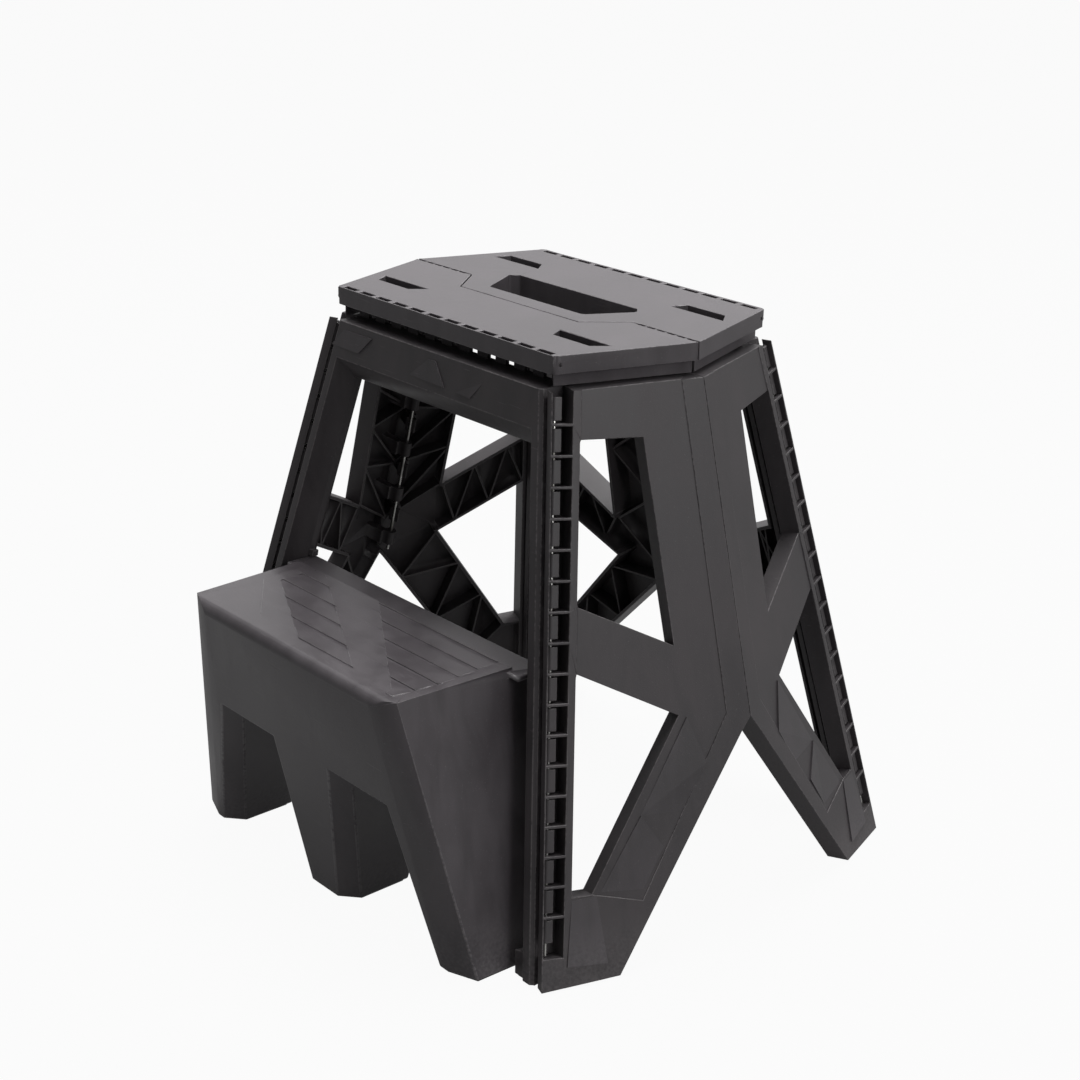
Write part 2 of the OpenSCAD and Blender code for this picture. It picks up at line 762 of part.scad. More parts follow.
module end_body() {
    difference() {
        intersection() {
            union() {
                plate(end_outline, -border_rise - skin_thick, -border_rise);
                walls(end_outline, 2 * rim_thick, -end_depth, -skin_thick);
                walls(end_upper, 2 * rim_thick, -end_depth, -skin_thick);
                walls(end_lower, 2 * rim_thick, -end_depth, -skin_thick);
                plate([[bar_start, -over], [bar_end + lap, -over], [bar_end + lap, corner_top_line + over],
                    [bar_start, corner_top_line + over]], -end_depth, 0);
                plate(concat([end_outline[0]], end_points(end_foot_shares),
                    [end_lower[1], end_lower[2], [bar_start, end_lower[2][1]]]), -skin_thick, 0);
                plate([[bar_start, corner_top_line - 2 * rim_thick], [bar_start, corner_top_line + over],
                    [end_width, corner_top_line + 2 * over], [end_width, corner_top_line + over / 2],
                    end_point(end_top_shares[0]), end_point(end_top_shares[1])], -end_depth, -border_rise);
                plate(concat(end_points(end_border_shares), [end_outline[1], end_outline[2], end_outline[3],
                    end_outline[4], end_outline[5], end_outline[6]]), -skin_thick, 0);
                end_ribs();
            }
            plate(end_outline, -end_depth, over);
        }
        plate(end_upper, -end_depth - over, over);
        plate(end_lower, -end_depth - over, over);
    }
}

// Places along the ridge line, as shares of its length to the top edge
ridge_start_share = 0.4529;
ridge_end_share = 0.9359;
ridge_reach_share = 1.6;
ridge_count = 9;
function ridge_place(i) = ridge_top_line
    * (ridge_start_share + (ridge_end_share - ridge_start_share) * i / ridge_count);

module ridge_arm(s, mouth) {
    reach = ridge_reach_share * knuckle_radius;
    difference() {
        union() {
            rod_y(-ridge_axis_back, -half_package, knuckle_radius, s - ridge_knuckle / 2,
                s + ridge_knuckle / 2);
            translate([-ridge_axis_back - knuckle_radius, s - ridge_knuckle / 2, -half_package])
                cube([knuckle_radius, ridge_knuckle, half_package - skin_thick]);
            translate([-ridge_axis_back - reach, s - ridge_knuckle / 2, -half_package + knuckle_radius])
                cube([reach, ridge_knuckle, half_package - knuckle_radius - skin_thick]);
        }
        rod_y(-ridge_axis_back, -half_package, bore_radius, s - ridge_knuckle, s + ridge_knuckle);
        if (mouth)
            translate([-ridge_axis_back, s, -half_package])
                rotate([0, 45, 0])
                    translate([0, -ridge_knuckle, -over / 2])
                        cube([over, 2 * ridge_knuckle, over]);
    }
}

module end_panel_shape(back) {
    intersection() {
        place_end() {
            difference() {
                end_body();
                rod_y(axis_foot, -axis_depth, barrel_radius, -over, -lap);
            }
            end_ladder();
        }
        translate([0, -2 * corner_half_depth, pad_thick])
            cube([2 * ridge_half_length, 2 * corner_half_depth - joint_gap / 4,
                frame_top_height - pad_thick]);
    }
    place_ridge()
        for (i = [0 : ridge_count])
            if ((i % 2 == 0) != back)
                ridge_arm(ridge_place(i), back);
}

module ridge_rod_shape() {
    place_ridge()
        rod_y(-ridge_axis_back, -half_package, rod_radius, ridge_place(0) - ridge_knuckle,
            ridge_place(ridge_count) + ridge_knuckle);
}

module corner_rod_shape() {
    place_end()
        rod_y(axis_foot, -axis_depth, rod_radius, rod_start, rod_end);
}

// A rounded outline: corner cut polygon with a disc in every corner
module rounded(points, r) {
    count = len(points);
    cuts = [for (i = [0 : count - 1])
        let (p = points[i], a = unit(points[(i + count - 1) % count] - p),
            b = unit(points[(i + 1) % count] - p), half = acos(a * b) / 2)
        [p + a * r / tan(half), p + b * r / tan(half), p + unit(a + b) * r / sin(half)]];
    polygon([for (c = cuts) for (k = [0, 1]) c[k]]);
    for (c = cuts)
        translate(c[2])
            circle(r = r, $fn = round_fn);
}

tip_slope = (seat_tip_length - seat_half_length) / seat_half_depth;
function seat_outline(inset) = [[seat_half_length - inset, -seat_half_depth + inset],
    [seat_tip_length - inset, 0], [seat_half_length - inset, seat_half_depth - inset],
    [-seat_half_length + inset, seat_half_depth - inset], [-seat_tip_length + inset, 0],
    [-seat_half_length + inset, -seat_half_depth + inset]];

// The part of the plan that belongs to the front half; a gap widens the cut
module front_side(gap) {
    far = 2 * seat_tip_length;
    polygon([[-far, -far], [far, -far], [far, -gap], [tab_back_half + gap, -gap],
        [tab_front_half + gap, -tab_depth - gap], [-tab_front_half - gap, -tab_depth - gap],
        [-tab_back_half - gap, -gap], [-far, -gap]]);
}

module hole_outline(grow) {
    back_half = hole_back_half - finger_slot_taper + grow / 2;
    shoulder = hole_back - finger_slot_taper;
    rounded([[-hole_front_half - grow, -hole_front - grow], [hole_front_half + grow, -hole_front - grow],
        [hole_back_half + grow, shoulder], [back_half, hole_back + grow],
        [-back_half, hole_back + grow], [-hole_back_half - grow, shoulder]], rim_thick);
}

module finger_outline(grow) {
    long = finger_slot_half + grow;
    short = finger_slot_half - finger_slot_taper + grow / 2;
    side = finger_slot_side + grow;
    polygon([[-short, -side], [short - finger_slot_taper / 2, -side], [long, side], [-long, side]]);
}

module finger_slots(grow) {
    for (x = [-1, 1])
        translate([x * finger_slot_x, -finger_slot_y])
            finger_outline(grow);
}

// Slab, skirts and walls of both halves together; cut apart afterwards
module seat_shell() {
    top = seat_height;
    translate([0, 0, top - skin_thick])
        linear_extrude(height = skin_thick)
            rounded(seat_outline(0), seat_corner_radius);
    translate([0, 0, top - slab_thick])
        linear_extrude(height = slab_thick)
            difference() {
                rounded(seat_outline(0), seat_corner_radius);
                polygon(seat_outline(skirt_inset + rim_thick));
            }
}

module seat_skirts() {
    translate([0, 0, seat_height - skirt_depth])
        linear_extrude(height = skirt_depth - skin_thick / 2)
            difference() {
                polygon(seat_outline(skirt_inset));
                polygon(seat_outline(skirt_inset + rim_thick));
                square([2 * (seat_half_length - skirt_inset) - 3 * rim_thick, 3 * seat_half_depth],
                    center = true);
            }
}

// Blank of one half, front half layout
seat_rib_shares = [0.68, 0.42];
module seat_half_blank() {
    deep = seat_height - slab_thick;
    seat_shell();
    seat_skirts();
    lug = slot_pitch - slot_length;
    for (i = [0 : slots]) {
        x = (i - slots / 2) * slot_pitch;
        rod_x(-edge_axis_y, edge_axis_z, axis_depth - strip_thick, x - lug / 2, x + lug / 2);
        along_x(x - lug / 2, x + lug / 2)
            polygon([[-edge_axis_y - axis_depth + strip_thick, edge_axis_z],
                [-edge_axis_y - axis_depth + strip_thick, seat_height - lap],
                [-edge_axis_y + 4 * arm_thick, seat_height - lap],
                [-edge_axis_y + axis_depth - strip_thick, edge_axis_z]]);
    }
    for (i = [1 : slots - 1])
        translate([(i - slots / 2) * slot_pitch - stiffener_thick / 2, -edge_axis_y, deep + lap])
            cube([stiffener_thick, edge_axis_y - tab_depth, slab_thick - lap - lap]);
    translate([0, 0, seat_height - slab_thick])
        linear_extrude(height = slab_thick - lap)
            finger_slots(rim_thick / 2);
    for (share = seat_rib_shares)
        translate([-seat_half_length - skirt_inset, -seat_half_depth * share, deep + lap])
            cube([2 * (seat_half_length + skirt_inset), stiffener_thick, slab_thick - lap - lap]);
}

// Slots over the hinge arms, and room for the barrels, in arm thicknesses
arm_room = 4.4;
module edge_slots() {
    for (i = [0 : slots - 1])
        translate([(i - (slots - 1) / 2) * slot_pitch - slot_length / 2,
            -edge_axis_y - axis_depth / 2 - lap, seat_height - slab_thick - over]) {
            cube([slot_length, slot_width, slab_thick + 2 * over]);
            cube([slot_length, arm_room * arm_thick, slab_thick + over - skin_thick]);
        }
}

module centre_slots() {
    for (side = [-1, 1])
        for (i = [0 : centre_slot_count - 1])
            translate([side * (centre_start + (i + 1 / 2) * centre_pitch) - centre_slot_length / 2,
                -centre_slot_width / 2, seat_height - slab_thick - over])
                cube([centre_slot_length, centre_slot_width, slab_thick + 2 * over]);
}

// Centre knuckles with their arms; the parity picks the seat half
knuckle_count = 4;
module centre_knuckles(parity) {
    for (side = [-1, 1])
        for (i = [0 : knuckle_count - 1])
            if (i % 2 == parity) {
                mid = side * (centre_start + (i + 1 / 2) * centre_pitch);
                difference() {
                    union() {
                        rod_x(0, centre_axis_z, knuckle_radius, mid - centre_knuckle_width / 2,
                            mid + centre_knuckle_width / 2);
                        along_x(mid - centre_knuckle_width / 2, mid + centre_knuckle_width / 2)
                            polygon([[0, centre_axis_z - knuckle_radius],
                                [-joint_gap, centre_axis_z + knuckle_radius],
                                [-centre_slot_width, seat_height - skin_thick],
                                [-3 * knuckle_radius, seat_height - skin_thick],
                                [-2 * knuckle_radius, centre_axis_z + knuckle_radius],
                                [-knuckle_radius, centre_axis_z]]);
                    }
                    rod_x(0, centre_axis_z, bore_radius, mid - centre_knuckle_width,
                        mid + centre_knuckle_width);
                }
            }
}

// Walls along the joint and, on the front half, round the recess
module joint_walls() {
    translate([0, 0, seat_height - slab_thick])
        linear_extrude(height = slab_thick - lap)
            intersection() {
                difference() {
                    front_side(joint_gap / 2);
                    front_side(joint_gap / 2 + rim_thick);
                }
                polygon(seat_outline(lap));
            }
}

module seat_front_shape() {
    difference() {
        intersection() {
            union() {
                seat_half_blank();
                joint_walls();
            }
            translate([0, 0, seat_height - 2 * half_package])
                linear_extrude(height = 2 * half_package)
                    front_side(joint_gap / 2);
        }
        edge_slots();
        rod_x(-edge_axis_y, edge_axis_z, bore_radius, -corner_half_length, corner_half_length);
        centre_slots();
        translate([0, 0, seat_height - over])
            linear_extrude(height = 2 * over)
                finger_slots(0);
    }
    centre_knuckles(0);
}

module seat_back_shape() {
    difference() {
        union() {
            intersection() {
                union() {
                    mirror([0, 1, 0])
                        seat_half_blank();
                    tab_walls();
                }
                difference() {
                    translate([-2 * seat_tip_length, -tab_depth - over, seat_height - 2 * half_package])
                        cube([4 * seat_tip_length, 2 * seat_tip_length, 2 * half_package]);
                    translate([0, 0, seat_height - 3 * half_package])
                        linear_extrude(height = 4 * half_package)
                            front_side(-joint_gap / 2);
                }
            }
        }
        mirror([0, 1, 0])
            edge_slots();
        rod_x(edge_axis_y, edge_axis_z, bore_radius, -corner_half_length, corner_half_length);
        centre_slots();
        translate([0, 0, seat_height - 2 * over])
            linear_extrude(height = 3 * over)
                hole_outline(0);
        mirror([0, 1, 0])
            translate([0, 0, seat_height - over])
                linear_extrude(height = 2 * over)
                    finger_slots(0);
    }
    mirror([0, 1, 0])
        centre_knuckles(1);
}

module tab_plan(inset) {
    polygon([[-tab_back_half + inset, inset], [-tab_front_half + inset, -tab_depth + inset],
        [tab_front_half - inset, -tab_depth + inset], [tab_back_half - inset, inset]]);
}

// Tab of the back half: deep wall round the handle hole and rim along the joint
module tab_walls() {
    translate([0, 0, seat_height - hole_wall_depth])
        linear_extrude(height = hole_wall_depth - lap)
            difference() {
                hole_outline(rim_thick);
                hole_outline(-lap);
            }
    translate([0, 0, seat_height - slab_thick])
        linear_extrude(height = slab_thick - lap)
            difference() {
                polygon(seat_outline(lap));
                front_side(-joint_gap / 2);
                translate([0, seat_tip_length + rim_thick])
                    square([4 * seat_tip_length, 2 * seat_tip_length], center = true);
                tab_plan(rim_thick);
            }
    translate([-tab_back_half, 0, seat_height - skin_thick])
        cube([2 * tab_back_half, rim_thick, skin_thick]);
    translate([0, 0, seat_height - skin_thick])
        linear_extrude(height = skin_thick)
            tab_plan(0);
}

module seat_edge_rod_shape() {
    half = slots / 2 * slot_pitch + slot_lug / 2;
    rod_x(-edge_axis_y, edge_axis_z, rod_radius, -half, half);
}

module seat_centre_rods_shape() {
    both_sides()
        rod_x(0, centre_axis_z, rod_radius, centre_start - rib_thick,
            centre_start + knuckle_count * centre_pitch + rib_thick);
}

// The space in front of the leaning plane that carries one side of the step
module step_side_space(inset) {
    translate([step_half_width - inset, -tread_back, step_height])
        rotate([0, 0, -step_yaw])
            rotate([0, -atan(step_spread * cos(step_yaw)), 0])
                translate([-3 * corner_half_length, -2 * corner_half_length, -3 * corner_half_length])
                    cube([3 * corner_half_length, 4 * corner_half_length, 6 * corner_half_length]);
}

// The space behind the plane through the two edges of the front corner's chamfer
module step_corner_space(inset) {
    along = unit(corner_side - corner_front);
    outward = unit(cross(corner_foot - corner_front, along));
    side = 3 * corner_half_length;
    translate(corner_front - outward * inset)
        rotate(turn_of(along, cross(outward, along), outward))
            translate([-side, -side, -2 * side])
                cube([2 * side, 2 * side, 2 * side]);
}

module step_profile(inset) {
    top = step_height - inset;
    front_top = -step_front_top + inset;
    front_low = -step_front_floor + over * tan(step_front_lean) + inset;
    r = step_edge_radius - inset / 2;
    along_x(-2 * corner_half_length, 2 * corner_half_length)
        intersection() {
            rounded([[front_top, top], [front_low, -over], [-step_rear_floor + over, -over],
                [-step_rear_top + over, top]], r);
            translate([-2 * step_front_top, 0])
                square([3 * step_front_top, top + over]);
        }
}

module step_rear_space() {
    place_frame()
        translate([-2 * corner_half_length, -over, -frame_depth + running_gap])
            cube([4 * corner_half_length, frame_line, 2 * step_front_top]);
}

module step_outer(inset) {
    intersection() {
        step_profile(inset);
        step_side_space(inset);
        mirror([1, 0, 0])
            step_side_space(inset);
        step_corner_space(inset);
        mirror([1, 0, 0])
            step_corner_space(inset);
    }
}

function arch_points(low_in, high_in, high_out, low_out, high) = [[low_in, -over], [low_in, 0],
    [high_in, high], [high_out, high], [low_out, 0], [low_out, -over]];

module arch_prism(long, deep_start, deep_end, rise = 0) {
    translate([0, -deep_start, 0])
        rotate([90, 0, 0])
            linear_extrude(height = deep_end - deep_start)
                polygon(arch_points(middle_leg_floor + long, middle_leg_top + long, outer_leg_top - long,
                    outer_leg_floor - long, arch_height + rise));
}

module chamfer_cut(grow) {
    far = 2 * arch_chamfer_long;
    translate([-grow, -grow])
        polygon([[-lap, lap], [arch_chamfer_long + lap, -arch_chamfer_deep - lap],
            [far, -arch_chamfer_deep - lap], [far, over], [-lap, over]]);
}

// Chamfers both upright edges of an arch at the step's front face; grown, it keeps walls behind them
module arch_chamfers(grow) {
    lean_in = atan((middle_leg_top - middle_leg_floor) / arch_height);
    lean_out = atan((outer_leg_floor - outer_leg_top) / arch_height);
    intersection() {
        translate([0, -step_front_floor, 0])
            rotate([90 + step_front_lean, 0, 0]) {
                translate([middle_leg_floor, 0, 0])
                    rotate([0, 0, -lean_in])
                        along_y(-over, 2 * arch_height)
                            chamfer_cut(grow);
                translate([outer_leg_floor, 0, 0])
                    rotate([0, 0, lean_out])
                        along_y(-over, 2 * arch_height)
                            mirror([1, 0])
                                chamfer_cut(grow);
            }
        arch_prism(-lap - grow, 0, 2 * step_front_top, grow);
    }
}

// Hollow of the step, open at the back, with walls round the arches
module step_hollow() {
    difference() {
        intersection() {
            step_outer(step_wall);
            translate([-2 * corner_half_length, -step_front_top, leg_floor_wall])
                cube([4 * corner_half_length, 2 * step_front_top, step_height]);
        }
        both_sides() {
            arch_wall_prism(arch_chamfer_long - step_wall);
            arch_chamfers(step_wall);
        }
    }
}

module arch_wall_prism(shrunk) {
    translate([0, step_front_top, 0])
        rotate([90, 0, 0])
            linear_extrude(height = 3 * step_front_top)
                polygon([[middle_leg_floor + shrunk, -over], [middle_leg_floor + shrunk, 0],
                    [middle_leg_top + shrunk, arch_height + step_wall],
                    [outer_leg_top - shrunk, arch_height + step_wall],
                    [outer_leg_floor - shrunk, 0], [outer_leg_floor - shrunk, -over]]);
}

module step_lip() {
    top = step_height - lip_drop;
    lip_edge = window_edge + lip_side_gap;
    intersection() {
        translate([-corner_half_length, -tread_back - step_wall, top - lip_thick])
            cube([2 * corner_half_length, tread_back, lip_thick]);
        place_frame()
            plate([[-frame_x(0, lip_edge), 0], [frame_x(0, lip_edge), 0],
                [frame_x(frame_line / 2, lip_edge), frame_line / 2],
                [-frame_x(frame_line / 2, lip_edge), frame_line / 2]], -frame_depth + running_gap, over);
    }
}

// Anti-slip saw teeth in bands between slanting lines; every second band faces the other way.
// The lines' points are shares of the tread's half width and of its depth, from the rear
tread_line_shares = [[[-0.9, 0.98], [-0.9, 0.6], [-0.42, 0.18]],
    [[-0.81, 0.98], [-0.81, 0.67], [-0.04, 0.18]], [[-0.71, 0.98], [0.47, 0.18]],
    [[-0.18, 0.98], [0.81, 0.18], [0.84, 0.1]], [[0.9, 0.98], [0.92, 0.5], [0.88, 0.1]]];
// Place of each band's first tooth, as shares of the depth
tread_first_shares = [0.185, 0.185, 0.185, 0.115];

module tread_teeth(band) {
    low = step_height - lap;
    buried = step_height - lap / 4;
    crest = step_height + tread_tooth_rise;
    faces_front = band % 2 == 1;
    along_x(-step_half_width, step_half_width)
        for (i = [0 : floor(tread_depth / tread_tooth_pitch)]) {
            front = -step_front_top + tread_first_shares[band] * tread_depth + i * tread_tooth_pitch;
            back = front + tread_tooth_pitch - running_gap;
            polygon([[front, low], [back, low], [back, faces_front ? buried : crest],
                [front, faces_front ? crest : buried]]);
        }
}

module tread_pattern() {
    for (band = [0 : len(tread_first_shares) - 1]) {
        left = tread_line_shares[band];
        right = tread_line_shares[band + 1];
        intersection() {
            tread_teeth(band);
            translate([0, 0, step_height - step_wall])
                linear_extrude(height = 2 * step_wall)
                    polygon(concat([for (p = left) tread_point(p)],
                        [for (i = [len(right) - 1 : -1 : 0]) tread_point(right[i]) + [lap, 0]]));
        }
    }
}

function tread_point(p) = [p[0] * step_half_width, -step_front_top + p[1] * tread_depth];

module step_shape() {
    difference() {
        intersection() {
            step_outer(0);
            translate([-corner_half_length, -2 * step_front_top, pad_thick])
                cube([2 * corner_half_length, 2 * step_front_top, step_height]);
            step_rear_space();
        }
        step_hollow();
        both_sides() {
            arch_prism(arch_chamfer_long, 0, 2 * step_front_top);
            arch_chamfers(0);
        }
        translate([-2 * corner_half_length, -tread_back, step_height - lip_drop])
            cube([4 * corner_half_length, tread_back, over]);
    }
    step_lip();
    tread_pattern();
}

// Foot pads: the foot's own section, set in from its edges
module front_pad_plan() {
    place_frame()
        both_sides()
            place_side()
                translate([-foot_width + pad_inset, -over, -frame_depth + pad_inset])
                    cube([foot_width - hinge_gap_width - 2 * pad_inset, 2 * over,
                        frame_depth - chamfer_depth - 2 * pad_inset]);
}

module pad_slab(side, high) {
    translate([-side, -side, 0])
        cube([2 * side, 2 * side, high]);
}

module front_frame_pads_shape() {
    intersection() {
        front_pad_plan();
        pad_slab(2 * corner_half_length, pad_thick);
    }
}

module back_frame_pads_shape() {
    mirror([0, 1, 0])
        intersection() {
            front_pad_plan();
            pad_slab(2 * corner_half_length, pad_thick);
        }
}

module end_pad_shape() {
    intersection() {
        place_end()
            plate([[bar_start + pad_inset, -over], [end_pad_share * end_width, -over],
                [end_pad_share * end_width, over], [bar_start + pad_inset, over]],
                -end_depth + pad_inset, -border_rise - pad_inset);
        pad_slab(2 * ridge_half_length, pad_thick);
    }
}

module step_pads_shape() {
    intersection() {
        step_outer(pad_inset);
        pad_slab(2 * corner_half_length, pad_thick);
        translate([-corner_half_length, -2 * step_front_top, 0])
            cube([2 * corner_half_length, 2 * step_front_top - step_rear_floor - 2 * pad_inset,
                step_height]);
        difference() {
            pad_slab(3 * corner_half_length, step_height);
            both_sides() {
                arch_prism(arch_chamfer_long - pad_inset, 0, 2 * step_front_top);
                arch_chamfers(pad_inset);
            }
        }
    }
}

module to_back() {
    mirror([0, 1, 0])
        children();
}

module to_left() {
    mirror([1, 0, 0])
        children();
}

module seat_front() {
    color(seat_color)
        shifted()
            seat_front_shape();
}

module seat_back() {
    color(seat_color)
        shifted()
            seat_back_shape();
}

module front_frame() {
    color(body_color)
        shifted()
            front_frame_shape();
}

module back_frame() {
    color(body_color)
        shifted()
            back_frame_shape();
}

module end_panel_right_front() {
    color(body_color)
        shifted()
            end_panel_shape(false);
}

module end_panel_right_back() {
    color(body_color)
        shifted()
            to_back() end_panel_shape(true);
}

module end_panel_left_front() {
    color(body_color)
        shifted()
            to_left() end_panel_shape(false);
}

module end_panel_left_back() {
    color(body_color)
        shifted()
            to_left() to_back() end_panel_shape(true);
}

module step() {
    color(seat_color)
        shifted()
            step_shape();
}

module corner_rod_right_front() {
    color(rod_color)
        shifted()
            corner_rod_shape();
}

module corner_rod_right_back() {
    color(rod_color)
        shifted()
            to_back() corner_rod_shape();
}

module corner_rod_left_front() {
    color(rod_color)
        shifted()
            to_left() corner_rod_shape();
}

module corner_rod_left_back() {
    color(rod_color)
        shifted()
            to_left() to_back() corner_rod_shape();
}

module ridge_rod_right() {
    color(rod_color)
        shifted()
            ridge_rod_shape();
}

module ridge_rod_left() {
    color(rod_color)
        shifted()
            to_left() ridge_rod_shape();
}

module seat_edge_rod_front() {
    color(rod_color)
        shifted()
            seat_edge_rod_shape();
}

module seat_edge_rod_back() {
    color(rod_color)
        shifted()
            to_back() seat_edge_rod_shape();
}

module seat_centre_rods() {
    color(rod_color)
        shifted()
            seat_centre_rods_shape();
}

module front_frame_pads() {
    color(pad_color)
        shifted()
            front_frame_pads_shape();
}

module back_frame_pads() {
    color(pad_color)
        shifted()
            back_frame_pads_shape();
}

module right_front_pad() {
    color(pad_color)
        shifted()
            end_pad_shape();
}

module right_back_pad() {
    color(pad_color)
        shifted()
            to_back() end_pad_shape();
}

module left_front_pad() {
    color(pad_color)
        shifted()
            to_left() end_pad_shape();
}

module left_back_pad() {
    color(pad_color)
        shifted()
            to_left() to_back() end_pad_shape();
}

module step_pads() {
    color(pad_color)
        shifted()
            step_pads_shape();
}

seat_front();
seat_back();
front_frame();
back_frame();
end_panel_right_front();
end_panel_right_back();
end_panel_left_front();
end_panel_left_back();
step();
corner_rod_right_front();
corner_rod_right_back();
corner_rod_left_front();
corner_rod_left_back();
ridge_rod_right();
ridge_rod_left();
seat_edge_rod_front();
seat_edge_rod_back();
seat_centre_rods();
front_frame_pads();
back_frame_pads();
right_front_pad();
right_back_pad();
left_front_pad();
left_back_pad();
step_pads();
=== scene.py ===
import math

import bmesh
import bpy
from mathutils import Matrix, Vector


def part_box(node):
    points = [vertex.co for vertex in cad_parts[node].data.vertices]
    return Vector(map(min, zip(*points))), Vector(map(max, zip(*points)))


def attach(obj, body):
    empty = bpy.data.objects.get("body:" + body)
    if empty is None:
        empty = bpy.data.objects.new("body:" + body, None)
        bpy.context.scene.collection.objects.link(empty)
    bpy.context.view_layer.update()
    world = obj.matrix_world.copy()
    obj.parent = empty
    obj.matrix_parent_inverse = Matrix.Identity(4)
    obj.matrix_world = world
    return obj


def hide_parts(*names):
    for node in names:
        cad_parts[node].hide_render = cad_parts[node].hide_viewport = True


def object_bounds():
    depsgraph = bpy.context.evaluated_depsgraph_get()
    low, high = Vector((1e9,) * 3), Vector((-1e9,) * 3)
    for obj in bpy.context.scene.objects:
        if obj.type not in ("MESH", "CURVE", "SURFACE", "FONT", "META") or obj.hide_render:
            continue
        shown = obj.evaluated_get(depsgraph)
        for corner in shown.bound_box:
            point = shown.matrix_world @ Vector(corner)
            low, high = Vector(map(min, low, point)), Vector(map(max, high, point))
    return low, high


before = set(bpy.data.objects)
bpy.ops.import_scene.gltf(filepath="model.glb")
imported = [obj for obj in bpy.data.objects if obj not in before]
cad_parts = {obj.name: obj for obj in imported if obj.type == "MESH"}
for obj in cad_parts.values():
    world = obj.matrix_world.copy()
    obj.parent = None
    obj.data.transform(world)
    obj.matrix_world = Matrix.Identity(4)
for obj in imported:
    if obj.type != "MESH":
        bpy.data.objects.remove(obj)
cad_box = [list(corner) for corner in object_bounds()]
MM = 0.001


# The front frame: one portal of glass-filled polypropylene, moulded dark charcoal, that stands
# the stool up. It comes out of its mould with broken edges, a fine spark-eroded grain and
# shallow tilted facets along its top bar.
class Value:
    """The output of a shader node. Sums and products on it add Math nodes."""

    def __init__(self, finish, socket):
        self.finish, self.socket = finish, socket

    def join(self, operation, first, second):
        return self.finish.add("Math", {"operation": operation}, {0: first, 1: second})

    def __add__(self, other):
        return self.join("ADD", self, other)

    def __mul__(self, other):
        return self.join("MULTIPLY", self, other)

    def __sub__(self, other):
        return self.join("SUBTRACT", self, other)

    def __rsub__(self, other):
        return self.join("SUBTRACT", other, self)

    __radd__ = __add__
    __rmul__ = __mul__


class Finish:
    """A procedural material, or the studio's sky. add() makes every node but the Math ones."""

    def __init__(self, owner, shader="Principled BSDF"):
        owner.use_nodes = True
        self.material = owner
        self.tree = owner.node_tree
        self.shader = self.tree.nodes[shader]

    def feed(self, socket, value):
        if isinstance(value, Value):
            self.tree.links.new(value.socket, socket)
        else:
            socket.default_value = value

    def add(self, kind, settings=None, sockets=None, output=0):
        node = self.tree.nodes.new("ShaderNode" + kind)
        for name, setting in (settings or {}).items():
            setattr(node, name, setting)
        for name, value in (sockets or {}).items():
            self.feed(node.inputs[name], value)
        return Value(self, node.outputs[output])

    def mix(self, share, first, second):
        """Two colours: the first where share is 0, the second where it is 1."""
        return self.add("Mix", {"data_type": "RGBA"}, {0: share, 6: first, 7: second}, output=2)

    def noise(self, place, scale, detail=2.0, distortion=0.0):
        return self.add("TexNoise", sockets={"Vector": place, "Scale": scale, "Detail": detail,
                                             "Distortion": distortion})

    def step(self, value, start, end):
        """0 below start, 1 above end, smooth between."""
        return self.add("MapRange", {"interpolation_type": "SMOOTHSTEP"},
                        {"Value": value, "From Min": start, "From Max": end})

    def bump(self, height, strength, depth):
        """A surface that rises with height, by about depth metres."""
        return self.add("Bump", sockets={"Strength": strength, "Distance": depth,
                                         "Height": height}, output="Normal")

    def set(self, **sockets):
        for name, value in sockets.items():
            self.feed(self.shader.inputs[name.replace("_", " ")], value)
        return self.material


def shade(red, green, blue):
    """A colour in screen values from 0 to 255, made linear by the sRGB curve."""
    return tuple((c / 255 / 12.92) if c <= 10 else ((c / 255 + 0.055) / 1.055) ** 2.4
                 for c in (red, green, blue)) + (1.0,)


